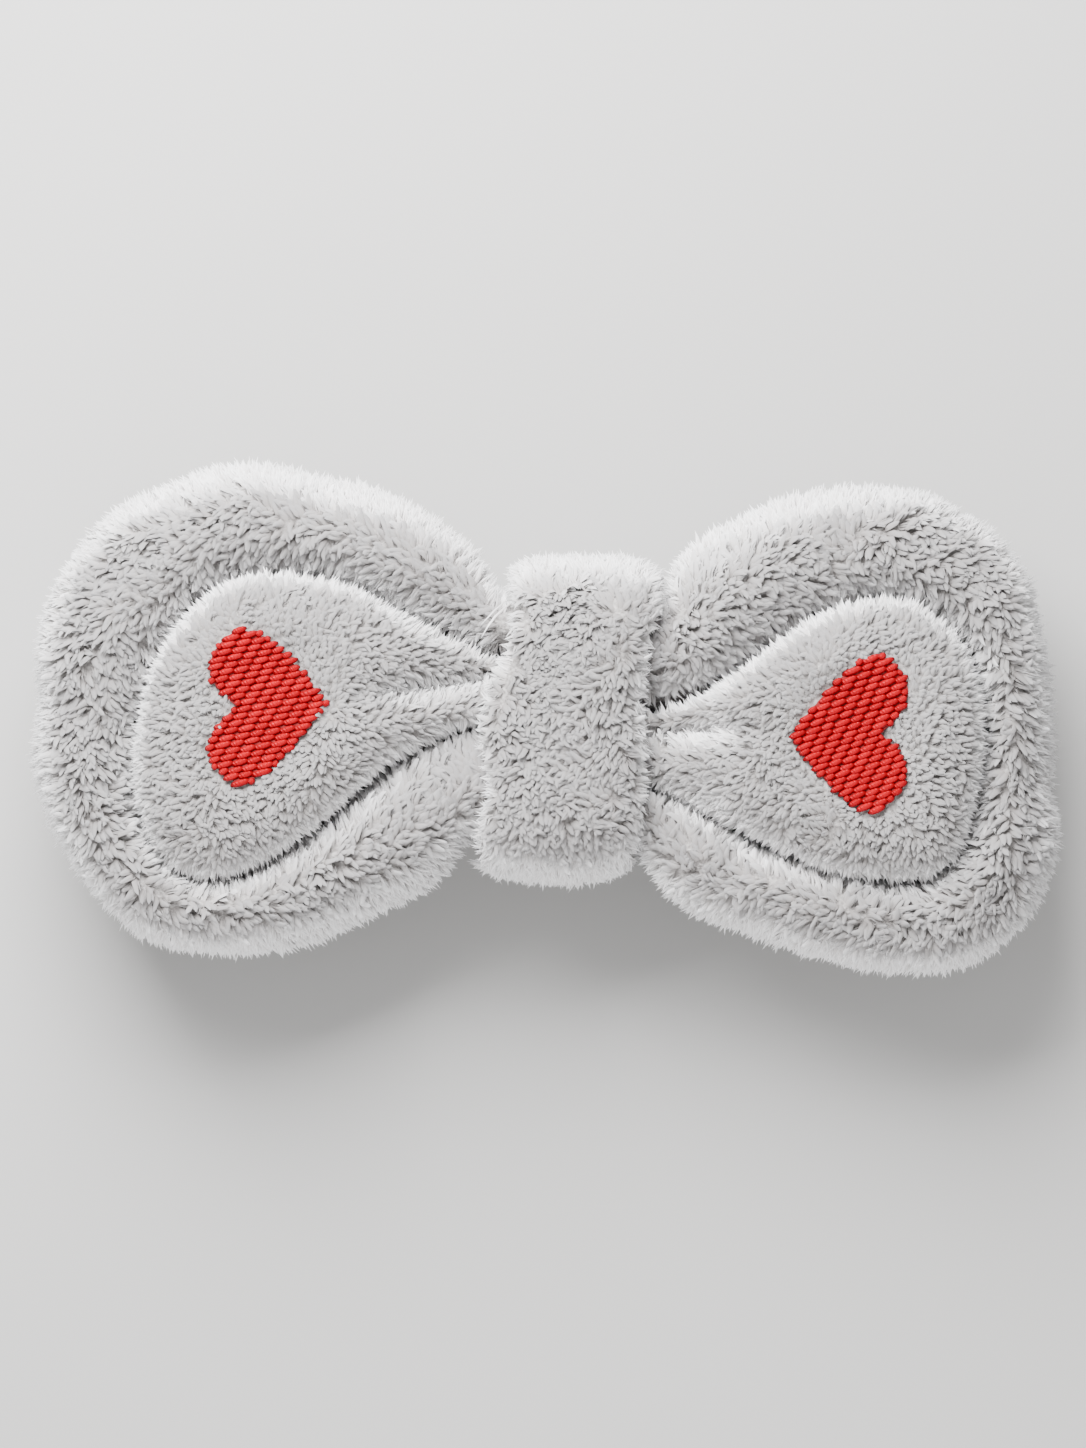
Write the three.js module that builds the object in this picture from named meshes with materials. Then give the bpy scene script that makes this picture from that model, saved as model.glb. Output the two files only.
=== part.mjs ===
// Plush bow headband with a stitched heart on each wing, lying face up on a table.
//
// The head band is a loop of padded plush, flattened where it lies. The bow lies on its upper
// run: each wing is a stuffed roll round a hollow, and a smaller stuffed pad with a stitched
// heart fills the hollow. A padded knot wraps the gathered necks of both and the band below.
//
// Millimetres, +Z up. From above, +X is to the right of the bow and +Y to its top edge. The
// origin is on the table, in the middle of the headband's outline.

import * as THREE from 'three';

// Driving dimensions

const seam = 0.4; // gap between pieces that press on each other

const band = {
  loopLength: 190, // over the two turned ends of the flattened loop
  loopHeight: 26, // from the table to the top of the upper run
  width: 50,
  thickness: 6, // two layers of plush and the elastic between them
  roundedEdge: 2.6,
  knotGather: 7, // how much narrower the band is inside the knot
};

const neck = {
  halfHeight: 25, // half the height of a wing where it runs through the knot
  depth: 15, // its thickness there
  floor: 6.2, // its thickness under the pad
};

const knot = {
  halfWidth: 17.3,
  shift: 3, // how far the knot sits to the right of the middle
  frontWall: 7.4, // padding at the crest of the front
  sideWall: 7,
  backWall: 4.6,
  cornerRadius: 7,
};

const wing = {
  reach: 103, // from the middle of the headband to a wing's tip
  rise: 51, // from the middle of the headband to a wing's upper edge
  depth: 18.6, // from the band to the crest of the roll
  floor: 8.4, // thickness under the pad
  equator: 3.2, // height of the widest line above the band
  droop: 11, // how far the edges hang down round the band
  flank: 1.5, // how gently the roll rises out of the hollow, where 1 is round
};

const pad = {
  depth: 11.5, // from the hollow's floor to the crest
  edge: 3.6, // height of the widest line above its underside
  dish: 2.6, // how far the embroidery draws the middle down
  dishRadius: 19,
};

const heart = {
  length: 24.2, // from the point to the ends of the lobes
  halfSpan: 16, // from the axis to the side of a lobe
  thickness: 0.8,
};

// Heights that follow from the stack of pieces

const wingBack = band.loopHeight + seam;
const neckTop = wingBack + neck.depth;
const knotFront = neckTop + seam;
const knotBack = band.loopHeight - band.thickness - seam;
const knotHalfHeight = neck.halfHeight + seam;
const bandWidthInKnot = band.width - band.knotGather;

// The knot's side edges from top to bottom, as shares of its half height and half width.
const knotEdges = [
  { up: 0.95, left: -0.70, right: 1.16 },
  { up: 0.67, left: -0.54, right: 1.16 },
  { up: 0.42, left: -0.68, right: 1.06 },
  { up: 0.15, left: -0.93, right: 0.99 },
  { up: -0.09, left: -1.00, right: 0.99 },
  { up: -0.36, left: -0.88, right: 1.03 },
  { up: -0.62, left: -0.99, right: 0.94 },
  { up: -0.95, left: -1.08, right: 0.82 },
];

// One row for each section across a wing's roll, from the top of the knot round the tip to the
// bottom. out is a share of the way from the knot to the tip, up a share of wing.rise, crest a
// share of wing.depth: first the outer edge, then the groove at the roll's inner foot.
const leftWing = {
  sign: -1,
  heartTip: { out: 0.314, up: 0.062 },
  heartTurn: -2,
  heartSlant: 0.04,
  padNeck: { top: 0.53, bottom: -0.07 },
  sections: [
    { out: 0.040, up: 0.760, grooveOut: 0.020, grooveUp: 0.325, crest: 0.90 },
    { out: 0.172, up: 0.878, grooveOut: 0.155, grooveUp: 0.440, crest: 0.94 },
    { out: 0.310, up: 0.945, grooveOut: 0.275, grooveUp: 0.543, crest: 0.95 },
    { out: 0.448, up: 0.996, grooveOut: 0.392, grooveUp: 0.582, crest: 0.93 },
    { out: 0.586, up: 0.984, grooveOut: 0.515, grooveUp: 0.572, crest: 0.91 },
    { out: 0.724, up: 0.902, grooveOut: 0.610, grooveUp: 0.478, crest: 0.90 },
    { out: 0.845, up: 0.776, grooveOut: 0.668, grooveUp: 0.362, crest: 0.89 },
    { out: 0.945, up: 0.545, grooveOut: 0.716, grooveUp: 0.225, crest: 0.88 },
    { out: 0.994, up: 0.280, grooveOut: 0.744, grooveUp: 0.085, crest: 0.87 },
    { out: 0.980, up: 0.085, grooveOut: 0.758, grooveUp: -0.035, crest: 0.84 },
    { out: 1.000, up: -0.110, grooveOut: 0.766, grooveUp: -0.150, crest: 0.87 },
    { out: 0.974, up: -0.340, grooveOut: 0.762, grooveUp: -0.290, crest: 0.89 },
    { out: 0.888, up: -0.624, grooveOut: 0.728, grooveUp: -0.482, crest: 0.90 },
    { out: 0.758, up: -0.835, grooveOut: 0.660, grooveUp: -0.612, crest: 0.91 },
    { out: 0.610, up: -0.922, grooveOut: 0.548, grooveUp: -0.635, crest: 0.92 },
    { out: 0.448, up: -0.900, grooveOut: 0.436, grooveUp: -0.548, crest: 0.94 },
    { out: 0.290, up: -0.840, grooveOut: 0.316, grooveUp: -0.400, crest: 0.95 },
    { out: 0.160, up: -0.735, grooveOut: 0.196, grooveUp: -0.222, crest: 0.94 },
    { out: 0.062, up: -0.640, grooveOut: 0.080, grooveUp: -0.110, crest: 0.90 },
  ],
  folds: [
    { fromOut: -0.020, fromUp: 0.155, toOut: 0.225, toUp: 0.085, depth: 0.40, halfWidth: 3.2 },
  ],
};

const rightWing = {
  sign: 1,
  heartTip: { out: 0.312, up: -0.068 },
  heartTurn: 2,
  heartSlant: -0.06,
  padNeck: { top: 0.08, bottom: -0.58 },
  sections: [
    { out: 0.050, up: 0.665, grooveOut: 0.022, grooveUp: 0.062, crest: 0.93 },
    { out: 0.150, up: 0.778, grooveOut: 0.112, grooveUp: 0.128, crest: 0.96 },
    { out: 0.278, up: 0.858, grooveOut: 0.218, grooveUp: 0.240, crest: 0.97 },
    { out: 0.420, up: 0.910, grooveOut: 0.340, grooveUp: 0.385, crest: 0.95 },
    { out: 0.558, up: 0.920, grooveOut: 0.480, grooveUp: 0.474, crest: 0.92 },
    { out: 0.690, up: 0.868, grooveOut: 0.602, grooveUp: 0.475, crest: 0.90 },
    { out: 0.808, up: 0.765, grooveOut: 0.694, grooveUp: 0.405, crest: 0.89 },
    { out: 0.902, up: 0.620, grooveOut: 0.760, grooveUp: 0.295, crest: 0.88 },
    { out: 0.950, up: 0.400, grooveOut: 0.794, grooveUp: 0.165, crest: 0.88 },
    { out: 0.974, up: 0.150, grooveOut: 0.810, grooveUp: 0.005, crest: 0.87 },
    { out: 0.984, up: -0.100, grooveOut: 0.806, grooveUp: -0.150, crest: 0.86 },
    { out: 0.976, up: -0.250, grooveOut: 0.790, grooveUp: -0.285, crest: 0.84 },
    { out: 0.998, up: -0.420, grooveOut: 0.772, grooveUp: -0.410, crest: 0.87 },
    { out: 0.972, up: -0.650, grooveOut: 0.742, grooveUp: -0.535, crest: 0.88 },
    { out: 0.890, up: -0.850, grooveOut: 0.680, grooveUp: -0.625, crest: 0.89 },
    { out: 0.742, up: -0.972, grooveOut: 0.582, grooveUp: -0.652, crest: 0.90 },
    { out: 0.570, up: -0.996, grooveOut: 0.470, grooveUp: -0.628, crest: 0.91 },
    { out: 0.390, up: -0.936, grooveOut: 0.346, grooveUp: -0.570, crest: 0.93 },
    { out: 0.216, up: -0.856, grooveOut: 0.212, grooveUp: -0.478, crest: 0.93 },
    { out: 0.070, up: -0.765, grooveOut: 0.082, grooveUp: -0.366, crest: 0.90 },
  ],
  folds: [
    { fromOut: -0.060, fromUp: -0.055, toOut: 0.270, toUp: -0.020, depth: 0.40, halfWidth: 3.0 },
  ],
};

// One side of a heart from its point to its cleft, as shares of its length and half span.
const heartSide = [
  { along: 0.00, across: 0.00 },
  { along: 0.12, across: 0.28 },
  { along: 0.30, across: 0.59 },
  { along: 0.46, across: 0.82 },
  { along: 0.62, across: 0.96 },
  { along: 0.74, across: 1.00 },
  { along: 0.87, across: 0.90 },
  { along: 0.97, across: 0.70 },
  { along: 1.00, across: 0.52 },
  { along: 0.97, across: 0.34 },
  { along: 0.89, across: 0.17 },
  { along: 0.76, across: 0.00 },
];

// A padded strip cut across, as shares of its half width and thickness: flat inside, domed outside.
const knotSection = [
  { across: -0.90, lift: 0.00 },
  { across: -1.00, lift: 0.26 },
  { across: -0.96, lift: 0.58 },
  { across: -0.82, lift: 0.81 },
  { across: -0.55, lift: 0.95 },
  { across: -0.18, lift: 1.00 },
  { across: 0.18, lift: 1.00 },
  { across: 0.55, lift: 0.95 },
  { across: 0.82, lift: 0.81 },
  { across: 0.96, lift: 0.58 },
  { across: 1.00, lift: 0.26 },
  { across: 0.90, lift: 0.00 },
  { across: 0.30, lift: 0.00 },
  { across: -0.30, lift: 0.00 },
];

const plush = new THREE.MeshStandardMaterial({ color: 0xc8c5c6, roughness: 0.95, metalness: 0 });
const thread = new THREE.MeshStandardMaterial({ color: 0xd3070f, roughness: 0.45, metalness: 0 });

// Shape helpers

const smooth = (x) => THREE.MathUtils.smoothstep(x, 0, 1);
const mix = THREE.MathUtils.lerp;
const radians = THREE.MathUtils.degToRad;

// Turns the triangles of a closed surface so that they face outwards.
function faceOutwards(points, triangles) {
  let volume = 0;
  for (let i = 0; i < triangles.length; i += 3) {
    const [a, b, c] = [points[triangles[i]], points[triangles[i + 1]], points[triangles[i + 2]]];
    volume += a.dot(b.clone().cross(c));
  }
  if (volume < 0) triangles.reverse();
  const geometry = new THREE.BufferGeometry().setFromPoints(points);
  geometry.setIndex(triangles);
  geometry.computeVertexNormals();
  return geometry;
}

// Two triangles for each cell between the rings row and next, which hold count points each.
function joinRings(triangles, row, next, count) {
  for (let j = 0; j < count; j++) {
    const k = (j + 1) % count;
    triangles.push(row + j, row + k, next + j, row + k, next + k, next + j);
  }
}

// A closed surface over rings of points, with a pole at each end.
function ballOfRings(first, rings, last) {
  const count = rings[0].length;
  const points = [first, ...rings.flat(), last];
  const triangles = [];
  for (let i = 0; i + 1 < rings.length; i++) joinRings(triangles, 1 + i * count, 1 + (i + 1) * count, count);
  const end = points.length - 1;
  for (let j = 0; j < count; j++) {
    const k = (j + 1) % count;
    triangles.push(0, 1 + k, 1 + j);
    triangles.push(end, end - count + j, end - count + k);
  }
  return faceOutwards(points, triangles);
}

// A closed surface through sections that come round to the first again.
function loopOfSections(sections) {
  const count = sections[0].length;
  const triangles = [];
  sections.forEach((_, i) => joinRings(triangles, i * count, ((i + 1) % sections.length) * count, count));
  return faceOutwards(sections.flat(), triangles);
}

// The value of one column of a table at a height, with the rows in falling order of up.
function columnAt(rows, column, up) {
  if (up >= rows[0].up) return rows[0][column];
  for (let i = 1; i < rows.length; i++) {
    const [above, below] = [rows[i - 1], rows[i]];
    if (up >= below.up) return mix(below[column], above[column], (up - below.up) / (above.up - below.up));
  }
  return rows[rows.length - 1][column];
}

function meshOf(name, geometry, material) {
  const mesh = new THREE.Mesh(geometry, material);
  mesh.name = name;
  return mesh;
}

// Head band: one section swept round the flattened loop, gathered where the knot holds it

function headBand() {
  const radius = (band.loopHeight - band.thickness) / 2;
  const middle = band.loopHeight / 2;
  const straight = band.loopLength / 2 - band.loopHeight / 2;
  const turnSteps = 10;
  const gatherStart = knot.halfWidth * 1.25 + knot.shift;
  const gatherEnd = gatherStart + 16;
  const upperRun = [-gatherEnd, -mix(gatherStart, gatherEnd, 0.5), -gatherStart];
  const spine = [];
  const gather = (x) => 1 - smooth((Math.abs(x) - gatherStart) / (gatherEnd - gatherStart));
  const add = (x, z, angle, share) => {
    spine.push({ x, z, out: new THREE.Vector2(Math.cos(angle), Math.sin(angle)), share });
  };
  for (let i = 0; i <= turnSteps; i++) {
    const angle = mix(-Math.PI / 2, Math.PI / 2, i / turnSteps);
    add(straight + radius * Math.cos(angle), middle + radius * Math.sin(angle), angle, 0);
  }
  for (const x of [...upperRun.map((v) => -v), ...upperRun.slice().reverse()]) {
    add(x, middle + radius, Math.PI / 2, gather(x));
  }
  for (let i = 0; i <= turnSteps; i++) {
    const angle = mix(Math.PI / 2, 1.5 * Math.PI, i / turnSteps);
    add(-straight + radius * Math.cos(angle), middle + radius * Math.sin(angle), angle, 0);
  }
  const half = band.thickness / 2;
  const round = band.roundedEdge;
  const sections = spine.map(({ x, z, out, share }) => {
    const halfWidth = mix(band.width, bandWidthInKnot, share) / 2;
    const corners = [];
    for (const [side, lift] of [[1, 1], [-1, 1], [-1, -1], [1, -1]]) {
      const turns = side * lift > 0 ? [0, 0.5, 1] : [1, 0.5, 0];
      for (const turn of turns) {
        const angle = (turn * Math.PI) / 2;
        corners.push({
          y: side * (halfWidth - round + round * Math.cos(angle)),
          rise: lift * (half - round + round * Math.sin(angle)),
        });
      }
    }
    return corners.map(({ y, rise }) => new THREE.Vector3(x + rise * out.x, y, z + rise * out.y));
  });
  return loopOfSections(sections);
}

// Knot: a padded strip swept round a rounded rectangle that clears the necks and the band

function knotEdge(sign, up) {
  const side = columnAt(knotEdges, sign < 0 ? 'left' : 'right', up / (knotHalfHeight + knot.sideWall));
  return knot.shift + side * knot.halfWidth;
}

function knotWrap() {
  const radius = knot.cornerRadius;
  const stops = [];
  const cornerSteps = 5;
  const frontSteps = 9;
  const sideSteps = 2;
  const quarter = Math.PI / 2;
  const corners = [{ y: 1, z: 1 }, { y: -1, z: 1 }, { y: -1, z: -1 }, { y: 1, z: -1 }];
  const centreZ = (knotFront + knotBack) / 2;
  const straightY = knotHalfHeight - radius;
  const straightZ = (knotFront - knotBack) / 2 - radius;
  corners.forEach(({ y, z }, i) => {
    for (let k = 0; k <= cornerSteps; k++) {
      const angle = quarter * (i + k / cornerSteps);
      stops.push({
        y: y * straightY + radius * Math.cos(angle),
        z: centreZ + z * straightZ + radius * Math.sin(angle),
        angle,
      });
    }
    const steps = i % 2 === 0 ? frontSteps : sideSteps;
    const next = corners[(i + 1) % 4];
    const angle = quarter * (i + 1);
    for (let k = 1; k < steps; k++) {
      stops.push({
        y: mix(y, next.y, k / steps) * straightY + radius * Math.cos(angle),
        z: centreZ + mix(z, next.z, k / steps) * straightZ + radius * Math.sin(angle),
        angle,
      });
    }
  });
  return loopOfSections(stops.map(({ y, z, angle }) => {
    const facing = Math.sin(angle);
    const wall = mix(knot.sideWall, facing > 0 ? knot.frontWall : knot.backWall, facing * facing);
    const [left, right] = [knotEdge(-1, y), knotEdge(1, y)];
    return knotSection.map(({ across, lift }) => new THREE.Vector3(
      mix(left, right, (across + 1) / 2),
      y + wall * lift * Math.cos(angle),
      z + wall * lift * Math.sin(angle),
    ));
  }));
}

// Wings and pads: both are worked out on rays from the middle of the heart

function frameOf(side) {
  const edges = knotEdges.map((row) => knot.shift + row[side.sign < 0 ? 'left' : 'right'] * knot.halfWidth);
  const shoulder = Math.max(...edges.map((x) => side.sign * x));
  const outAt = (share) => mix(shoulder, wing.reach, share);
  const tip = new THREE.Vector2(outAt(side.heartTip.out), side.heartTip.up * wing.rise);
  const centre = new THREE.Vector2(tip.x + heart.length * 0.55, tip.y);
  const end = side.sign * knot.shift + seam * 1.5;
  const leave = (up) => side.sign * knotEdge(side.sign, up);
  // 0 in the knot, 1 where the gathers have opened out
  const opened = (p) => smooth((p.x - shoulder + 2) / 20);
  return { shoulder, outAt, tip, centre, end, leave, opened };
}

// Control rows for the closed outline of a wing and of its groove, the neck first.
function outlineRows(side) {
  const { outAt, end, leave } = frameOf(side);
  const half = neck.halfHeight - seam;
  const top = side.padNeck.top * half;
  const bottom = side.padNeck.bottom * half;
  const inKnot = knotHalfHeight;
  const beyond = knotHalfHeight + knot.sideWall * 0.65;
  const row = (out, up, grooveOut, grooveUp, crest) => ({
    edge: new THREE.Vector3(out, up, 0),
    groove: new THREE.Vector3(grooveOut, grooveUp, crest),
  });
  const inner = end + 1.6;
  const flat = neck.floor / wing.depth;
  const full = neck.depth / wing.depth;
  const rows = [
    row(end, -half * 0.55, inner, mix(bottom, top, 0.25), flat),
    row(end, 0, inner, mix(bottom, top, 0.5), flat),
    row(end, half * 0.55, inner, mix(bottom, top, 0.75), flat),
    row(end, half, inner, top, full),
    row(leave(inKnot) + 0.8, half, leave(top) - 3, top, full),
    row(leave(beyond) + 2, beyond, leave(top) + 2, top + 0.6, full),
  ];
  for (const s of side.sections) {
    rows.push(row(outAt(s.out), s.up * wing.rise, outAt(s.grooveOut), s.grooveUp * wing.rise, s.crest));
  }
  rows.push(row(leave(-beyond) + 2, -beyond, leave(bottom) + 2, bottom - 0.6, full));
  rows.push(row(leave(-inKnot) + 0.8, -half, leave(bottom) - 3, bottom, full));
  rows.push(row(end, -half, inner, bottom, full));
  return rows;
}

// Stations round the outline: a point on the edge, one on the groove, and the roll's crest.
function stationsOf(side) {
  const rows = outlineRows(side);
  const { end, opened } = frameOf(side);
  const curve = (key) => new THREE.CatmullRomCurve3(rows.map((r) => r[key]), true, 'centripetal');
  const [edges, grooves] = [curve('edge'), curve('groove')];
  const count = rows.length * 2;
  return Array.from({ length: count }, (_, j) => {
    const edge = edges.getPoint(j / count);
    const groove = grooves.getPoint(j / count);
    return {
      edge: new THREE.Vector2(Math.max(end, edge.x), edge.y),
      groove: new THREE.Vector2(Math.max(end + 1, groove.x), groove.y),
      crest: Math.min(groove.z * wing.depth, mix(neck.depth, wing.depth, opened(edge))),
    };
  });
}

// Height of a wing's underside: it lies on the band and hangs down past the band's edges.
function backHeight(p) {
  const pastSide = smooth((Math.abs(p.y) - band.width / 2 - 2) / 13);
  const pastEnd = smooth((p.x - band.loopLength / 2 + 6) / 12);
  return wingBack - wing.droop * Math.max(pastSide, pastEnd);
}

function floorHeight(frame, p) {
  return wingBack + mix(neck.floor, wing.floor, frame.opened(p));
}

function wingGeometry(side) {
  const frame = frameOf(side);
  const stations = stationsOf(side);
  const { centre } = frame;
  const place = (p, z) => new THREE.Vector3(side.sign * p.x, p.y, z);
  const rings = [];
  const addRing = (at) => rings.push(stations.map(at));
  for (const share of [0.4, 0.8, 1]) {
    addRing(({ groove }) => {
      const p = centre.clone().lerp(groove, share);
      return place(p, floorHeight(frame, p));
    });
  }
  // the roll's front, from its inner foot over the crest to the widest line
  const equator = (p) => wingBack + mix(neck.depth * 0.4, wing.equator, frame.opened(p));
  for (const degrees of [22, 45, 68, 90, 112, 134, 157, 180]) {
    const angle = radians(degrees);
    addRing(({ edge, groove, crest }) => {
      const p = groove.clone().lerp(edge, (1 - Math.cos(angle)) / 2);
      const inner = degrees < 90;
      const start = inner ? floorHeight(frame, groove) : equator(p);
      const rise = Math.sin(angle) ** (inner ? wing.flank : 1);
      return place(p, start + (wingBack + crest - start) * rise);
    });
  }
  // under the widest line, round to the underside
  const tuck = 0.46;
  for (const degrees of [25, 50, 74, 90]) {
    const angle = radians(degrees);
    addRing(({ edge, groove }) => {
      const p = edge.clone().lerp(groove, tuck * (1 - Math.cos(angle)));
      return place(p, mix(equator(edge), backHeight(p), Math.sin(angle)));
    });
  }
  for (const share of [0.94, 0.87, 0.79, 0.7, 0.58, 0.3]) {
    addRing(({ edge, groove }) => {
      const p = centre.clone().lerp(edge.clone().lerp(groove, tuck), share);
      return place(p, backHeight(p));
    });
  }
  return ballOfRings(
    place(centre, floorHeight(frame, centre)),
    rings,
    place(centre, backHeight(centre)),
  );
}

// How deep the folds that run out of the knot are at a point, as a share of pad.depth.
function foldDepth(side, frame, p) {
  let depth = 0;
  for (const fold of side.folds) {
    const from = new THREE.Vector2(frame.outAt(fold.fromOut), fold.fromUp * wing.rise);
    const along = new THREE.Vector2(frame.outAt(fold.toOut), fold.toUp * wing.rise).sub(from);
    const share = p.clone().sub(from).dot(along) / along.lengthSq();
    const off = p.clone().sub(from).cross(along) / along.length() / fold.halfWidth;
    depth += fold.depth * Math.exp(-off * off) * (1 - smooth((share - 0.45) / 0.55));
  }
  return depth;
}

function padGeometry(side) {
  const frame = frameOf(side);
  const { centre } = frame;
  const place = (p, z) => new THREE.Vector3(side.sign * p.x, p.y, z);
  const outline = stationsOf(side).map(({ groove }) => {
    const inward = centre.clone().sub(groove);
    return groove.clone().add(inward.setLength(seam * 1.2));
  });
  const under = (p) => floorHeight(frame, p) + seam;
  const crest = (p) => {
    const puffed = pad.depth * (1 - foldDepth(side, frame, p));
    const dish = pad.dish * Math.exp(-p.distanceToSquared(centre) / (pad.dishRadius * pad.dishRadius / 2));
    const gathered = (neckTop - under(p)) * (1 - 0.6 * foldDepth(side, frame, p));
    return under(p) + mix(gathered, puffed - dish, frame.opened(p));
  };
  const rings = [];
  for (const share of [0.45, 0.9]) {
    rings.push(outline.map((q) => {
      const p = centre.clone().lerp(q, share);
      return place(p, under(p));
    }));
  }
  rings.push(outline.map((q) => {
    const p = centre.clone().lerp(q, 0.985);
    return place(p, under(p) + pad.edge * 0.3);
  }));
  // from the widest line over the crest to the heart, each ring a share of the way out
  for (const share of [1, 0.985, 0.95, 0.89, 0.8, 0.68, 0.54, 0.38, 0.2]) {
    rings.push(outline.map((q) => {
      const p = centre.clone().lerp(q, share);
      const rise = Math.sqrt(1 - share ** 7);
      return place(p, mix(under(p) + pad.edge, crest(p), rise));
    }));
  }
  return ballOfRings(place(centre, under(centre)), rings, place(centre, crest(centre)));
}

// Hearts: a thin stitched layer that follows the pad below it

// The outline from the point round both lobes, sewn a little askew: turned, and slanted inwards.
function heartOutline(turn, slant) {
  const half = heartSide.map((r) => new THREE.Vector3(r.along * heart.length, r.across * heart.halfSpan, 0));
  const curve = new THREE.CatmullRomCurve3(half, false, 'centripetal');
  const upper = curve.getPoints((heartSide.length - 1) * 2);
  const lower = upper.slice(1, -1).reverse().map((p) => new THREE.Vector3(p.x, -p.y, 0));
  const middle = new THREE.Vector2();
  return [...upper, ...lower].map((p) => new THREE.Vector2(p.x - slant * p.y, p.y).rotateAround(middle, turn));
}

// The height of a mesh's top at a place, found by a ray from above the knot.
function heightOn(mesh, x, y) {
  const start = knotFront + knot.frontWall;
  const down = new THREE.Raycaster(new THREE.Vector3(x, y, start), new THREE.Vector3(0, 0, -1));
  return down.intersectObject(mesh)[0].point.z;
}

function heartGeometry(side, padMesh) {
  const { tip } = frameOf(side);
  const turn = radians(side.heartTurn);
  const outline = heartOutline(turn, side.heartSlant);
  const middle = new THREE.Vector2(heart.length * 0.5, 0).rotateAround(new THREE.Vector2(), turn);
  const place = (p, lift) => {
    const x = side.sign * (tip.x + p.x);
    const y = tip.y + p.y;
    return new THREE.Vector3(x, y, heightOn(padMesh, x, y) + seam + lift);
  };
  const ring = (share, lift) => outline.map((p) => place(middle.clone().lerp(p, share), lift));
  const rings = [
    ring(0.4, 0),
    ring(0.75, 0),
    ring(0.99, 0),
    ring(1, heart.thickness * 0.5),
    ring(0.96, heart.thickness),
    ring(0.72, heart.thickness),
    ring(0.36, heart.thickness),
  ];
  return ballOfRings(place(middle, 0), rings, place(middle, heart.thickness));
}

// Assembly

const headband = new THREE.Group();
headband.add(meshOf('head_band', headBand(), plush));
headband.add(meshOf('knot_wrap', knotWrap(), plush));

for (const [name, side] of [['left', leftWing], ['right', rightWing]]) {
  const padMesh = meshOf(`${name}_heart_pad`, padGeometry(side), plush);
  headband.add(meshOf(`${name}_wing`, wingGeometry(side), plush));
  headband.add(padMesh);
  headband.add(meshOf(`${name}_heart_embroidery`, heartGeometry(side, padMesh), thread));
}

const outline = new THREE.Box3().setFromObject(headband);
const middle = outline.getCenter(new THREE.Vector3());
headband.position.set(-middle.x, -middle.y, -outline.min.z);

export default headband;
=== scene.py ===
"""A plush bow headband with a stitched heart on each wing, lying face up and seen from above."""

import bmesh
import bpy
import numpy as np
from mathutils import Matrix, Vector


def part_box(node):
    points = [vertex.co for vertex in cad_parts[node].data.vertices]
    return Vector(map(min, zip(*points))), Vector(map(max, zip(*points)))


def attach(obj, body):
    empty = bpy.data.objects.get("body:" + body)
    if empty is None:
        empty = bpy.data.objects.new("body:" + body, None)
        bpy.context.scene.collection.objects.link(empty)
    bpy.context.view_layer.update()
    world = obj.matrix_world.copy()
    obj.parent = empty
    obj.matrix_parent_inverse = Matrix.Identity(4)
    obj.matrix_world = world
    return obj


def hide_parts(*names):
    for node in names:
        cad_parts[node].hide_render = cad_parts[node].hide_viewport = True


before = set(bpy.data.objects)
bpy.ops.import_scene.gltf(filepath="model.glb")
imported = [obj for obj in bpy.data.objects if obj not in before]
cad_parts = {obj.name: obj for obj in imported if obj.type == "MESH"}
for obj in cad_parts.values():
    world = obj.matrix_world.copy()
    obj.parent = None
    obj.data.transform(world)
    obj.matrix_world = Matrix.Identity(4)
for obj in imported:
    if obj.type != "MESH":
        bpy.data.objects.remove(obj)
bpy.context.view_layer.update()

# Camera. The photograph looks straight down, with the bow's top edge to the top of the frame.
# Its frame is 217 mm by 290 mm at the height of the wings' widest line.
mm = 0.001  # metres
photo_size_px = (1086, 1448)
photo_scale = 0.2 * mm  # metres to a pixel of the photograph
photo_centre = (-0.5 * mm, -1.0 * mm)
widest_line = 29 * mm
camera_distance = 1600 * mm

camera_data = bpy.data.cameras.new("camera")
camera = bpy.data.objects.new("camera", camera_data)
bpy.context.scene.collection.objects.link(camera)
camera.location = (*photo_centre, widest_line + camera_distance)
half_height = photo_size_px[1] * photo_scale / 2
camera_data.lens = camera_data.sensor_width / 2 * camera_distance / half_height
camera_data.clip_start = 50 * mm
bpy.context.scene.camera = camera


# Wings. Each is a roll of plush round a hollow, narrowed to a gathered neck inside the knot. It
# is sewn as a case and stuffed with loose fibre. Its skin is the knit back of the plush, below
# the tips of the pile: the CAD node, moved in by the height of the pile.
knit_voxel = 1.7 * mm
weld_distance = 0.01 * mm
long_lumps, short_lumps = 26 * mm, 12 * mm  # how far apart the lumps of the stuffing are
point_mass = 0.002  # kg that each point of the cloth weighs
filling_pressure = 4
filling_steps = 20
most_swell = 0.6 * mm  # how far the filling may push a point


def new_object(name, mesh):
    """Links a mesh to the scene as an object of the same name."""
    mesh.name = name
    made = bpy.data.objects.new(name, mesh)
    bpy.context.scene.collection.objects.link(made)
    return made


def apply_modifiers(piece):
    """Replaces a piece's mesh by what its modifiers make of it."""
    depsgraph = bpy.context.evaluated_depsgraph_get()
    finished = bpy.data.meshes.new_from_object(piece.evaluated_get(depsgraph))
    piece.modifiers.clear()
    piece.data = finished


def vectors(items, key, width=3):
    """One property of all vertices, loops or faces of a mesh as an array of rows."""
    values = np.zeros(len(items) * width)
    items.foreach_get(key, values)
    return values.reshape(-1, width)


def waves(points, wavelength, seed):
    """A smooth random field: the sum of nine sine waves of one length in random directions,
    each with a random start, over 2.1, which is the spread of such a sum."""
    rng = np.random.default_rng(seed)
    ways = rng.normal(size=(9, 3))
    ways *= 2 * np.pi / wavelength / np.linalg.norm(ways, axis=1, keepdims=True)
    return np.sin(points @ ways.T + rng.uniform(0, 2 * np.pi, 9)).sum(axis=1) / 2.1


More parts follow.
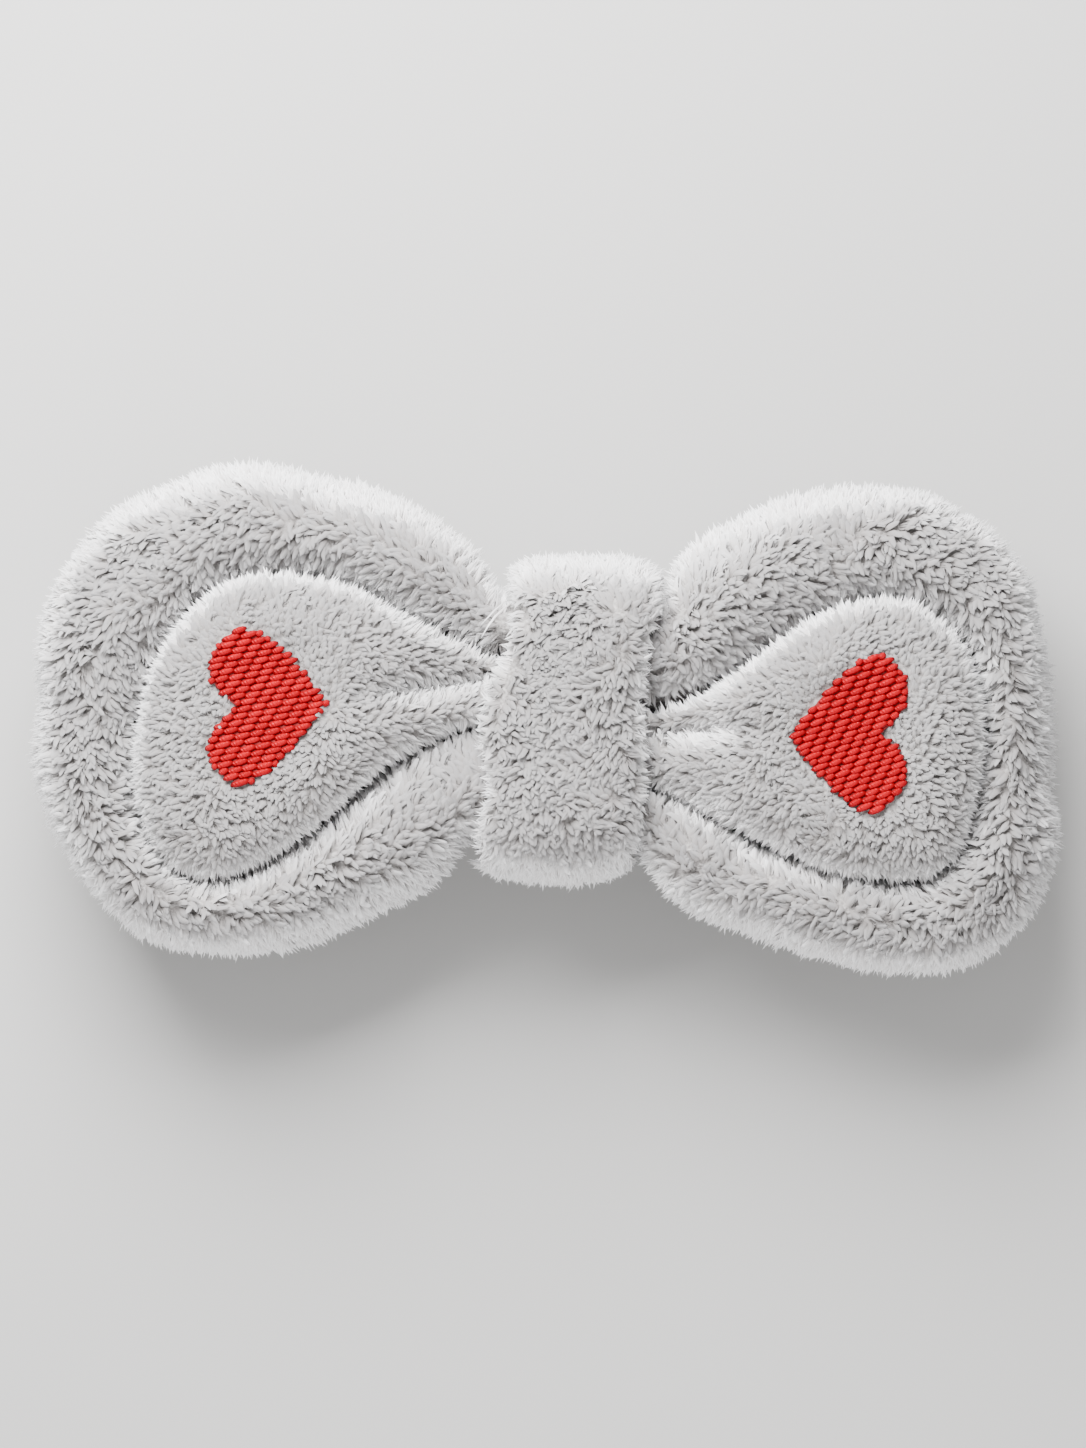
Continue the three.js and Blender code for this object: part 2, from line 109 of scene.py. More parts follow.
def crease_shift(points, normals, start, end, depth, half_width):
    """How a crease moves a skin: down by depth exp(-1.5 d/w) at a distance d from the line from
    start to end, on upward faces. It fades from 0.45 to 1.15 of the way along the line, and
    within a third of its length before the start."""
    start, end = np.array(start) * mm, np.array(end) * mm
    along = end - start
    off = points[:, :2] - start
    share = off @ along / (along @ along)
    across = np.abs(off[:, 0] * along[1] - off[:, 1] * along[0]) / np.linalg.norm(along)
    fade = np.clip((1.15 - share) / 0.7, 0, 1) * np.clip((share + 0.3) / 0.2, 0, 1)
    facing = np.clip(normals[:, 2] * 2, 0, 1)
    shift = np.zeros_like(points)
    shift[:, 2] = -depth * np.exp(-1.5 * across / half_width) * fade * facing
    return shift


def puff(skin, most):
    """Stuffs a skin: cloth under pressure and without weight, after which no point has moved
    more than a limit."""
    before = vectors(skin.data.vertices, "co")
    cloth = skin.modifiers.new("cloth", "CLOTH")
    cloth.settings.mass = point_mass
    cloth.settings.use_pressure = True
    cloth.settings.uniform_pressure_force = filling_pressure
    cloth.settings.effector_weights.gravity = 0
    for step in range(1, filling_steps + 1):
        bpy.context.scene.frame_set(step)
    apply_modifiers(skin)
    bpy.context.scene.frame_set(1)
    moved = vectors(skin.data.vertices, "co") - before
    far = np.linalg.norm(moved, axis=1, keepdims=True)
    held = moved * np.minimum(1, most / np.maximum(far, 1e-9))
    skin.data.vertices.foreach_set("co", (before + held).ravel())


def padded_skin(name, node, inset, lumps, voxel=knit_voxel, creases=()):
    """The skin of a stuffed piece: the CAD node remeshed, each point moved in along its normal
    by inset(points, normals), out or in by a random field of lumps, and down by its creases."""
    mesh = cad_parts[node].data.copy()
    mesh.materials.clear()
    merged = bmesh.new()
    merged.from_mesh(mesh)
    bmesh.ops.remove_doubles(merged, verts=merged.verts, dist=weld_distance)
    merged.to_mesh(mesh)
    merged.free()
    skin = new_object(name, mesh)
    remesh = skin.modifiers.new("remesh", "REMESH")
    remesh.mode = "VOXEL"
    remesh.voxel_size = voxel
    relax = skin.modifiers.new("relax", "SMOOTH")
    relax.iterations = 3
    relax.factor = 0.5
    apply_modifiers(skin)
    puff(skin, most_swell)
    points = vectors(skin.data.vertices, "co")
    normals = vectors(skin.data.vertices, "normal")
    swell = lumps * (0.6 * waves(points, long_lumps, 3) + 0.4 * waves(points, short_lumps, 4))
    points += normals * (swell - inset(points, normals))[:, None]
    for crease in creases:
        points += crease_shift(points, normals, **crease)
    skin.data.vertices.foreach_set("co", points.ravel())
    settle = skin.modifiers.new("settle", "SMOOTH")
    settle.iterations = 2
    settle.factor = 0.5
    apply_modifiers(skin)
    skin.data.polygons.foreach_set("use_smooth", np.ones(len(skin.data.polygons), bool))
    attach(skin, "root")
    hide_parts(node)
    return skin


# The wings' pile. Coral fleece has a long soft pile whose fibres curl together into tufts. A
# tuft is a few tapered strands whose tips meet, and leans with the way the plush was stroked.
class Wire:
    """A socket in a material. Its + - * add Math nodes, and node() adds any other node, with
    its settings and then the values or links of its sockets."""

    def __init__(self, tree, socket=None):
        self.tree = tree
        self.socket = socket

    def node(self, kind, settings=None, inputs=None, output=0):
        made = self.tree.nodes.new(kind)
        for key, value in (settings or {}).items():
            setattr(made, key, value)
        for key, value in (inputs or {}).items():
            if isinstance(value, Wire):
                self.tree.links.new(value.socket, made.inputs[key])
            else:
                made.inputs[key].default_value = value
        return Wire(self.tree, made.outputs[output] if made.outputs else None)

    def math(self, operation, a, b):
        return self.node("ShaderNodeMath", {"operation": operation}, {0: a, 1: b})

    def mixed(self, a, b, share):
        return self.node("ShaderNodeMix", {"data_type": "RGBA"}, {0: share, 6: a, 7: b}, 2)

    def part(self, output):
        return Wire(self.tree, self.socket.node.outputs[output])

    def __add__(self, other):
        return self.math("ADD", self, other)

    def __sub__(self, other):
        return self.math("SUBTRACT", self, other)

    def __rsub__(self, other):
        return self.math("SUBTRACT", other, self)

    def __mul__(self, other):
        return self.math("MULTIPLY", self, other)

    __radd__ = __add__
    __rmul__ = __mul__


def new_material(name):
    """An empty node material and the wire from which its nodes are made."""
    material = bpy.data.materials.new(name)
    material.use_nodes = True
    material.node_tree.nodes.clear()
    return material, Wire(material.node_tree)


def surface(wire, **sockets):
    """Ends a material: a Principled shader with these sockets, joined to the output."""
    inputs = {key.replace("_", " "): value for key, value in sockets.items()}
    shader = wire.node("ShaderNodeBsdfPrincipled", {}, inputs)
    wire.node("ShaderNodeOutputMaterial", {}, {"Surface": shader})


def pile_material():
    """Grey fleece with painted light and shade: darker and warmer at the root, as painted shade deep
    in the pile; near white at the tip where the pile stands out sideways, as painted light; and grey
    where it is level, as painted shade. Each lock is of its own tone, with fine fibres along it as a
    bump."""
    material, wire = new_material("fleece_pile")
    strand = wire.node("ShaderNodeAttribute", {"attribute_name": "strand"})
    parts = wire.node("ShaderNodeSeparateColor", {}, {0: strand})
    along, tone, across, level = parts, parts.part(1), parts.part(2), strand.part(3)
    place = wire.node("ShaderNodeTexCoord", {}, {}, 3)
    patch = wire.node("ShaderNodeTexNoise", {}, {"Vector": place, "Scale": 45.0, "Detail": 2.0})
    grain = wire.node("ShaderNodeCombineXYZ", {}, {0: across * 8.0, 1: tone * 90.0, 2: along * 1.4})
    fibres = wire.node("ShaderNodeTexNoise", {}, {"Vector": grain, "Scale": 1.0, "Detail": 1.0})
    reach = along + (fibres - 0.5) * 0.35
    depth = wire.node(
        "ShaderNodeMapRange", {"interpolation_type": "SMOOTHSTEP"}, {0: reach, 1: 0.15, 2: 0.95}
    )
    # Painted light and shade: the level channel picks pale colours for steep pile and dark grey ones for
    # level pile, and the root is darker than the tip.
    root = wire.mixed((0.62, 0.59, 0.58, 1), (0.23, 0.212, 0.205, 1), level)
    tip = wire.mixed((0.95, 0.945, 0.955, 1), (0.247, 0.24, 0.243, 1), level)
    body = wire.mixed(root, tip, depth)
    shaded = wire.mixed(body, (0.33, 0.31, 0.302, 1), tone * 0.22)
    colour = wire.mixed(shaded, (0.50, 0.49, 0.495, 1), patch * 0.12)
    relief = wire.node("ShaderNodeBump", {}, {"Strength": 0.6, "Distance": 0.12 * mm, "Height": fibres})
    surface(
        wire,
        Base_Color=colour,
        Roughness=0.85,
        Normal=relief,
        Sheen_Weight=0.3,
        Sheen_Roughness=0.45,
        Specular_IOR_Level=0.25,
    )
    return material


def knit_material():
    """The knit back of the plush, seen only deep between tufts: dark, as painted shade between the
    tufts, and fuzzy with paler short fibres."""
    material, wire = new_material("fleece_knit")
    place = wire.node("ShaderNodeTexCoord", {}, {}, 3)
    fuzz = wire.node("ShaderNodeTexNoise", {}, {"Vector": place, "Scale": 1100.0, "Detail": 3.0})
    share = wire.node("ShaderNodeMapRange", {}, {0: fuzz, 1: 0.35, 2: 0.65})
    # The dark knit colours are painted shade between the tufts.
    colour = wire.mixed((0.20, 0.185, 0.18, 1), (0.42, 0.40, 0.39, 1), share)
    relief = wire.node("ShaderNodeBump", {}, {"Strength": 1.0, "Distance": 0.5 * mm, "Height": fuzz})
    surface(wire, Base_Color=colour, Roughness=0.95, Normal=relief, Sheen_Weight=0.3)
    return material


fleece_pile = pile_material()
fleece_knit = knit_material()


# A strand has a ring of corners at each share along it, with its girth there. A fibre is a
# bent spike, and a leaf is a flat lock with a blunt point.
fibre = {"along": (0.0, 0.5), "girth": (0.8, 1.0), "corners": 3, "depth": 0.6}
leaf = {"along": (0.0, 0.45, 0.84), "girth": (0.6, 1.0, 0.66), "corners": 4, "depth": 0.5}
root_depth = 0.5 * mm  # how far below the skin a strand starts
root_scatter = 0.2 * mm
tip_scatter = 0.08 * mm
floor_gap = 0.8 * mm  # how far above the floor the lowest tips end


def unit(rows):
    """Rows of vectors, each scaled to length one."""
    return rows / np.maximum(np.linalg.norm(rows, axis=-1, keepdims=True), 1e-12)


def strands_of(shape, start, bend, tip, side, facing, width, tone, level):
    """Tapered strands as points, faces, shading normals and colours. A strand's middle line is
    the curve (1-t)^2 start + 2t(1-t) bend + t^2 tip, with a ring at each share t in the shape,
    as wide as width times its girth there, and a point at the tip. Its normals are turned
    most of the way to the skin's, because light scatters through pile."""
    along = np.array(shape["along"])
    t = along[None, :, None]
    line = (1 - t) ** 2 * start[:, None] + 2 * t * (1 - t) * bend[:, None] + t**2 * tip[:, None]
    way = unit((1 - t) * (bend - start)[:, None] + t * (tip - bend)[:, None])
    over = unit(np.cross(way, side[:, None]))
    beside = np.cross(over, way)
    girth = (width[:, None] * np.array(shape["girth"]))[:, :, None, None] / 2
    turn = np.pi / 2 + np.linspace(0, 2 * np.pi, shape["corners"], endpoint=False)[:, None]
    ring = np.cos(turn) * beside[:, :, None] + np.sin(turn) * over[:, :, None] * shape["depth"]
    rings = line[:, :, None] + girth * ring
    count, steps, corners = rings.shape[:3]
    points = np.concatenate([rings.reshape(count, -1, 3), tip[:, None]], axis=1)
    around = np.concatenate([ring.reshape(count, -1, 3), facing[:, None]], axis=1)
    shading = unit(around + 1.5 * facing[:, None])

    first = np.arange(steps - 1)[:, None] * corners
    here = np.arange(corners)
    after = (here + 1) % corners
    lower = np.stack([first + here, first + after, first + corners + here], axis=-1)
    upper = np.stack([first + after, first + corners + after, first + corners + here], axis=-1)
    last = (steps - 1) * corners
    cap = np.stack([last + here, last + after, np.full(corners, steps * corners)], axis=-1)
    foot = np.stack([np.zeros(corners - 2, int), here[2:], here[1:-1]], axis=-1)
    pattern = np.concatenate([lower.reshape(-1, 3), upper.reshape(-1, 3), cap, foot])
    per_strand = steps * corners + 1
    faces = (np.arange(count)[:, None, None] * per_strand + pattern).reshape(-1, 3)
    colours = np.ones((count, per_strand, 4))
    colours[:, :, 0] = np.append(np.repeat(along, corners), 1.0)
    colours[:, :, 1] = tone[:, None]
    colours[:, :, 2] = np.append(np.tile(np.cos(turn[:, 0]) / 2 + 0.5, steps), 0.5)
    # The fourth channel picks the pile's painted light where it is steep and painted shade where it is
    # level.
    colours[:, :, 3] = level[:, None]
    return points.reshape(-1, 3), faces, shading.reshape(-1, 3), colours.reshape(-1, 4)


def strand_piece(name, groups):
    """One piece of pile from groups of strands."""
    sizes = np.cumsum([0] + [len(group[0]) for group in groups])
    faces = np.concatenate([group[1] + size for group, size in zip(groups, sizes)])
    points, shading, colours = (np.concatenate([group[k] for group in groups]) for k in (0, 2, 3))
    mesh = bpy.data.meshes.new(name)
    mesh.vertices.add(len(points))
    mesh.vertices.foreach_set("co", points.ravel())
    mesh.loops.add(faces.size)
    mesh.loops.foreach_set("vertex_index", faces.ravel())
    mesh.polygons.add(len(faces))
    mesh.polygons.foreach_set("loop_start", np.arange(0, faces.size, 3))
    mesh.polygons.foreach_set("use_smooth", np.ones(len(faces), bool))
    strand = mesh.color_attributes.new("strand", "FLOAT_COLOR", "POINT")
    strand.data.foreach_set("color", colours.ravel())
    mesh.update()
    mesh.normals_split_custom_set_from_vertices(shading)
    mesh.materials.append(fleece_pile)
    piece = new_object(name, mesh)
    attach(piece, "root")
    return piece


def skin_points(skin, per_mm2, where, rng):
    """Random points on a skin and its normals there. A face holds its area times the density
    there in points, and one more by chance for what is left over."""
    mesh = skin.data
    mesh.calc_loop_triangles()
    corners = vectors(mesh.loop_triangles, "vertices").astype(int)
    places = vectors(mesh.vertices, "co")
    normals = vectors(mesh.vertices, "normal")
    a, b, c = (places[corners[:, k]] for k in range(3))
    area = np.linalg.norm(np.cross(b - a, c - a), axis=1) / 2 / mm**2
    middle = (a + b + c) / 3
    facing = unit(normals[corners].sum(axis=1))
    wanted = area * per_mm2 * where(middle, facing)
    counts = np.floor(wanted + rng.random(len(wanted))).astype(int)
    face = np.repeat(np.arange(len(counts)), counts)
    u, v = rng.random((2, len(face)))
    folded = u + v > 1
    u, v = np.where(folded, 1 - u, u), np.where(folded, 1 - v, v)
    weights = np.stack([1 - u - v, u, v], axis=1)[:, :, None]
    roots = (places[corners[face]] * weights).sum(axis=1)
    return roots, unit((normals[corners[face]] * weights).sum(axis=1))


def level_share(normals):
    """1 where a skin faces up, 0 where it is steeper than 57 degrees, smooth between."""
    share = np.clip((normals[:, 2] - 0.55) / 0.37, 0, 1)
    return share * share * (3 - 2 * share)


def stroked(x, y):
    """Plush that was stroked one way all over."""
    return lambda points: np.tile([x, y, 0.0], (len(points), 1))


def on_level(share):
    """Where pile stands in locks: on the level part of where a piece has pile at all."""
    return lambda points, normals: share(points, normals) * level_share(normals)


def on_slopes(share):
    """Where pile is finer and straighter: on the slopes of where a piece has pile at all."""
    return lambda points, normals: share(points, normals) * (1 - level_share(normals))


def lean_ways(points, normals, stroke, seed):
    """The way the tufts lean: down the slope on a steep skin, the way the plush was stroked
    there, stroke(points), where it is level, and a little along a slowly turning random field
    with waves 21 mm and 8 mm long."""
    wander = np.stack([waves(points, 21 * mm, seed + k) for k in range(3)], axis=1)
    wander += 0.6 * np.stack([waves(points, 8 * mm, seed + 10 + k) for k in range(3)], axis=1)
    slope = -np.array([0, 0, 1]) + normals[:, 2:] * normals
    pull = (2.4 - 1.9 * level_share(normals))[:, None]
    way = pull * slope + stroke(points) + 0.27 * wander
    return unit(way - (way * normals).sum(axis=1, keepdims=True) * normals)


def pile(name, skin, where, seed, stroke, tufts, length, breadth, strands=2, curl=0.22, body=True,
         short=None):
    """Tufts over a skin: that many to a square mm, times where(points, normals). A tuft is a
    leaf-shaped lock, or none if body is false, under a row of strands over its breadth, the
    outer ones shorter. It leans 43 to 58 degrees from the normal and curls to a side. If
    short is given, a tuft keeps short(roots) of its length."""
    rng = np.random.default_rng(seed)
    roots, normals = skin_points(skin, tufts, where, rng)
    count = len(roots)
    level = np.clip(normals[:, 2], 0, 1)
    swing = np.radians(rng.normal(0, 9 + 13 * level))
    way = lean_ways(roots, normals, stroke, seed)
    way = np.cos(swing)[:, None] * way + np.sin(swing)[:, None] * np.cross(normals, way)
    side = np.cross(normals, way)
    lean = np.radians(43 + 15 * level**2 + rng.normal(0, 8, count))
    reach = length * rng.uniform(0.75, 1.15, count)
    if short is not None:
        reach = reach * short(roots)
    turned = (reach * rng.normal(0, curl, count))[:, None] * side
    tone = rng.normal(0.5, 0.2, count)

    def lock(shape, each, place, width, long):
        """Strands of one shape, each(rows) repeating what the tufts hold, at places from -1 to
        1 across them."""
        beside = (breadth / 2 * place)[:, None] * each(side)
        bulge = (0.22 * breadth * (1 - place**2))[:, None] * each(normals)
        far = (each(reach) * long)[:, None]
        rise = np.cos(each(lean))[:, None] * each(normals) + np.sin(each(lean))[:, None] * each(way)
        base = each(roots) + rng.normal(0, root_scatter, len(place))[:, None] * each(way)
        start = base + 0.8 * beside - root_depth * each(normals)
        upright = unit(rise + 0.45 * each(normals))
        bend = base + 1.15 * beside + bulge - 0.5 * each(turned) + 0.55 * far * upright
        tip = base + 0.35 * beside + each(turned) + far * rise
        tip += rng.normal(0, tip_scatter, (len(place), 3))
        for points in (bend, tip):
            points[:, 2] = np.maximum(points[:, 2], floor_gap)
        shade = np.clip(each(tone) + rng.normal(0, 0.1, len(place)), 0, 1)
        # How level the skin is chooses the pile's painted light and painted shade.
        painted_shade_share = each(level_share(normals))
        return strands_of(shape, start, bend, tip, each(side), each(normals), width, shade, painted_shade_share)

    total = count * strands
    place = np.tile(np.linspace(-1, 1, strands), count) + rng.normal(0, 0.16, total)
    long = 1 - 0.24 * place**2 + rng.normal(0, 0.06, total)
    width = 1.7 * breadth / (strands + 3 * body) * rng.uniform(0.75, 1.25, total)
    groups = [lock(fibre, lambda rows: np.repeat(rows, strands, axis=0), place, width, long)]
    if body:
        place = rng.normal(0, 0.1, count)
        width = breadth * rng.uniform(0.7, 1.0, count)
        groups.append(lock(leaf, lambda rows: rows, place, width, np.full(count, 0.94)))
    return strand_piece(name, groups)


# Where a wing has pile and how deep its skin lies. Nothing shows of the hollow's floor, so it
# keeps no pile.
hollow_floor = 36.5 * mm
hollow_walls = 34 * mm  # above this a wing's inner side is the wall of its hollow
knot_low, knot_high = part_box("knot_wrap")
knot_cover = 6 * mm  # how far inside the knot's box a wing is always covered
wing_depth = 1.8 * mm
wall_depth = 0.5 * mm


def wing_pile_share(points, normals):
    """How much pile a wing has: full on the front, thinner underneath, none on the floor of the
    hollow or inside the knot."""
    x, y, z = points.T
    floor = (z < hollow_floor) & (normals[:, 2] > 0.5)
    within = (x > knot_low.x + knot_cover) & (x < knot_high.x - knot_cover)
    within &= np.abs(y) < knot_high.y - knot_cover
    under = np.clip(-normals[:, 2] * 1.6, 0, 1)
    return np.where(floor | within, 0, 1 - 0.72 * under)


def wing_inset(points, normals):
    """How deep a wing's skin lies under the tips of its pile: less on the walls of the hollow,
    where the pile meets the pad's."""
    inward = -(np.sign(points[:, 0]) * normals[:, 0] * 0.6 + np.sign(points[:, 1]) * normals[:, 1])
    walls = np.clip(inward * 1.5, 0, 1) * (points[:, 2] > hollow_walls)
    return wing_depth - (wing_depth - wall_depth) * walls


def round_the_roll(side):
    """The way a wing's crest was stroked: round its roll from the knot over the top, clockwise
    on the right wing and the other way on the left one."""
    middle = sum(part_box(f"{side}_heart_pad"), Vector()) / 2
    turn = np.sign(middle.x)

    def way(points):
        x, y = points[:, 0] - middle.x, points[:, 1] - middle.y
        return 0.62 * unit(np.column_stack([turn * y, -turn * x, np.zeros(len(points))]))

    return way


for seed, side in enumerate(("left", "right")):
    node, stroke = f"{side}_wing", round_the_roll(side)
    wing = padded_skin(f"{node}_skin", node, wing_inset, 0.4 * mm)
    wing.data.materials.append(fleece_knit)
    pile(f"{node}_locks", wing, on_level(wing_pile_share), 20 + seed, stroke, tufts=0.95,
         length=3.9 * mm, breadth=1.5 * mm, strands=3)
    pile(f"{node}_fibres", wing, on_slopes(wing_pile_share), 24 + seed, stroke, tufts=0.96,
         length=3.7 * mm, breadth=1.0 * mm, strands=3, curl=0.1, body=False)

# A few pulled fibres lie over the left wing beside the knot.
stray_root = np.array([(-7.2, 22.8, 45.0), (-7.9, 23.4, 45.4), (-8.4, 21.6, 45.2)]) * mm
stray_tip = np.array([(-12.3, 17.0, 46.4), (-13.0, 18.4, 46.2), (-12.8, 15.9, 46.0)]) * mm
stray_bow = np.array([(-0.6, 0.5, 1.4), (0.5, 0.9, 1.2), (-0.9, 0.3, 1.0)]) * mm
stray_bend = (stray_root + stray_tip) / 2 + stray_bow
stray_girth = np.array([0.55, 0.4, 0.45]) * mm
upward = np.tile([0.0, 0.0, 1.0], (3, 1))
beside = unit(np.cross(upward, stray_tip - stray_root))
# Tone 0 and level 0 give these fibres the pale colours of steep pile, which are painted light.
pale = np.zeros(3)
strand_piece("stray_fibres", [
    strands_of(fibre, stray_root, stray_bend, stray_tip, beside, upward, stray_girth, pale, pale)
])


# Heart pads. A smaller stuffed pad fills each hollow and narrows to the knot. The embroidery
# presses its pile flat where the heart is sewn.
pad_creases = {  # start and end in mm
    "left_heart_pad": [dict(start=(-13.5, 7.8), end=(-38.0, 3.6), depth=3.6 * mm, half_width=3.0 * mm)],
    "right_heart_pad": [dict(start=(20.0, -3.2), end=(45.0, -1.6), depth=3.4 * mm, half_width=2.8 * mm)],
}
heart_edge = 0.35 * mm  # how far a heart's outline lies inside the box of its CAD node
bare_margin = 0.3 * mm  # how far beyond the outline the pad has no pile
pressed_share = 0.62  # how long the pile is at the outline
pressed_reach = 5 * mm  # how far beyond the outline it is pressed

# One side of a heart from its point to its cleft, as shares of its length and half span.
heart_side = np.array([
    (0.00, 0.00), (0.12, 0.28), (0.30, 0.59), (0.46, 0.82), (0.62, 0.96), (0.74, 1.00),
    (0.87, 0.90), (0.97, 0.70), (1.00, 0.52), (0.97, 0.34), (0.89, 0.17), (0.76, 0.00),
])
heart_slant = {"left": (-1, 0.04, -2), "right": (1, -0.06, 2)}  # side, slant, degrees turned


def heart_outline(which):
    """The closed outline of a heart in the plane: its side and the mirror image of it, slanted,
    turned, and fitted to the box of its CAD node less a narrow edge."""
    sign, slant, turn = heart_slant[which]
    half = heart_side * (1.5, 1.0)
    ring = np.concatenate([half, (half * (1, -1))[-2:0:-1]])
    ring[:, 0] -= slant * ring[:, 1]
    c, s = np.cos(np.radians(turn)), np.sin(np.radians(turn))
    ring = ring @ np.array([[c, s], [-s, c]]) * (sign, 1)
    low, high = (np.array(p)[:2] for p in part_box(f"{which}_heart_embroidery"))
    low, high = low + heart_edge, high - heart_edge
    ring = (ring - ring.min(axis=0)) / np.ptp(ring, axis=0)
    return low + ring * (high - low)


def outline_gap(points, ring):
    """How far points lie outside a closed outline in the plane, and less than 0 inside it: the
    least distance to its sides, with the sign from how often a ray to +X crosses them."""
    a, b = ring, np.roll(ring, -1, axis=0)
    p = points[:, None, :2]
    side = b - a
    share = np.clip(((p - a) * side).sum(-1) / (side * side).sum(-1), 0, 1)[..., None]
    gap = np.linalg.norm(p - a - share * side, axis=-1).min(axis=1)
    up = (a[:, 1] > p[..., 1]) != (b[:, 1] > p[..., 1])
    slope = side[:, 0] / np.where(side[:, 1] == 0, 1e-12, side[:, 1])
    crossed = up & (p[..., 0] < a[:, 0] + (p[..., 1] - a[:, 1]) * slope)
    return np.where(crossed.sum(axis=1) % 2 == 1, -gap, gap)


hearts = {which: heart_outline(which) for which in ("left", "right")}


def pad_pile_share(points, normals):
    """Full pile on the pad's front and sides, none underneath or under the embroidery."""
    gap = np.minimum(*(outline_gap(points, ring) for ring in hearts.values()))
    covered = (gap < bare_margin) & (normals[:, 2] > 0.5)
    return np.where(covered | (normals[:, 2] < -0.25), 0, 1)


def pressed_by_heart(points):
    """How long the pile is near the embroidery: shortest at its edge, and full further out."""
    gap = np.minimum(*(outline_gap(points, ring) for ring in hearts.values()))
    return pressed_share + (1 - pressed_share) * np.clip(gap / pressed_reach, 0, 1)


def pad_inset(points, normals):
    """How deep a pad's skin lies: more at its edge, where its pile reaches out sideways."""
    return (0.9 + 0.8 * np.clip(1 - normals[:, 2], 0, 1)) * mm


def away_from_heart(points):
    """Plush stroked away from the middle of the nearer heart."""
    middles = np.array([ring.mean(axis=0) for ring in hearts.values()])
    off = points[:, None, :2] - middles
    near = np.linalg.norm(off, axis=2).argmin(axis=1)
    way = unit(off[np.arange(len(points)), near])
    return np.column_stack([0.62 * way, np.zeros(len(points))])


for seed, node in enumerate(pad_creases):
    pad = padded_skin(f"{node}_skin", node, pad_inset, 0.25 * mm, 1.2 * mm, pad_creases[node])
    pad.data.materials.append(fleece_knit)
    pile(f"{node}_locks", pad, on_level(pad_pile_share), 30 + seed, away_from_heart, tufts=1.3,
         length=3.1 * mm, breadth=1.2 * mm, curl=0.16, short=pressed_by_heart)
    pile(f"{node}_fibres", pad, on_slopes(pad_pile_share), 34 + seed, away_from_heart, tufts=1.4,
         length=3.4 * mm, breadth=1.0 * mm, strands=3, curl=0.08, body=False, short=pressed_by_heart)


# Hearts. Each is sewn through the pad's front in rows of red satin stitches over a red ground,
# every row's needle holes a step along from the last one's.
stitch_length = 3.0 * mm
stitch_pitch = 1.27 * mm
stitch_girth = 1.36 * mm
stitch_slant = 0.22 * mm  # how far a stitch's ends lie off its row's line
shortest_stitch = 0.7 * mm
row_step = 0.36  # how far a row's holes are along from the last one's, in stitches
row_rise = {"left": 8.5, "right": 15}  # degrees
stitch_sink = 0.48 * mm  # how far a stitch's ends lie below the pad's front
stitch_arch = 0.24 * mm  # how far its middle rises above its ends
needle_depth = 0.75 * mm  # how far its two points go down
ground_depth = 0.7 * mm
ground_thickness = 0.6 * mm


def heart_rows(ring, rise, rng):
    """Where the stitches of a heart start and end. A row is a line at an angle, cut by the
    outline; its stitches end at the outline and at holes stitch_length apart between. One row
    runs through the heart's point, and the outer rows lie 0.4 of a pitch inside its edge."""
    c, s = np.cos(np.radians(rise)), np.sin(np.radians(rise))
    turned = ring @ np.array([[c, -s], [s, c]])
    after = np.roll(turned, -1, axis=0)
    low, high = turned[:, 1].min(), turned[:, 1].max()
    starts, ends = [], []
    point = turned[0, 1]
    above = np.round((high - point) / stitch_pitch - 0.4)
    below = np.round((point - low) / stitch_pitch - 0.4)
    steps = np.arange(-below, above + 1)
    pitch = np.where(steps > 0, (high - point) / (above + 0.4), (point - low) / (below + 0.4))
    for row, level in enumerate(point + steps * pitch):
        cut = (turned[:, 1] > level) != (after[:, 1] > level)
        a, b = turned[cut], after[cut]
        crossings = np.sort(a[:, 0] + (level - a[:, 1]) * (b[:, 0] - a[:, 0]) / (b[:, 1] - a[:, 1]))
        for first, last in crossings.reshape(-1, 2):
            first, last = np.array([first, last]) + rng.normal(0, 0.28 * mm, 2)
            phase = (row * row_step % 1) * stitch_length
            holes = np.arange(np.ceil((first - phase) / stitch_length), (last - phase) / stitch_length)
            holes = holes * stitch_length + phase
            holes = holes[(holes > first + shortest_stitch) & (holes < last - shortest_stitch)]
            marks = np.concatenate([[first], holes + rng.normal(0, 0.12 * mm, len(holes)), [last]])
            middle = level + rng.normal(0, 0.06 * mm, len(marks) - 1)
            starts.append(np.stack([marks[:-1], middle - stitch_slant], axis=1))
            ends.append(np.stack([marks[1:], middle + stitch_slant], axis=1))
    back = np.array([[c, s], [-s, c]])
    return np.concatenate(starts) @ back, np.concatenate(ends) @ back


def height_fit(node):
    """The front of a CAD node as a smooth height: the least squares fit of a quadric in x and y
    to the points that face up."""
    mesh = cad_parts[node].data
    points = vectors(mesh.vertices, "co")
    top = points[vectors(mesh.vertices, "normal")[:, 2] > 0.5]

    def terms(p):
        x, y = p[:, 0], p[:, 1]
        return np.stack([np.ones_like(x), x, y, x * x, x * y, y * y], axis=1)

    weights = np.linalg.lstsq(terms(top), top[:, 2], rcond=None)[0]
    return lambda p: terms(p) @ weights


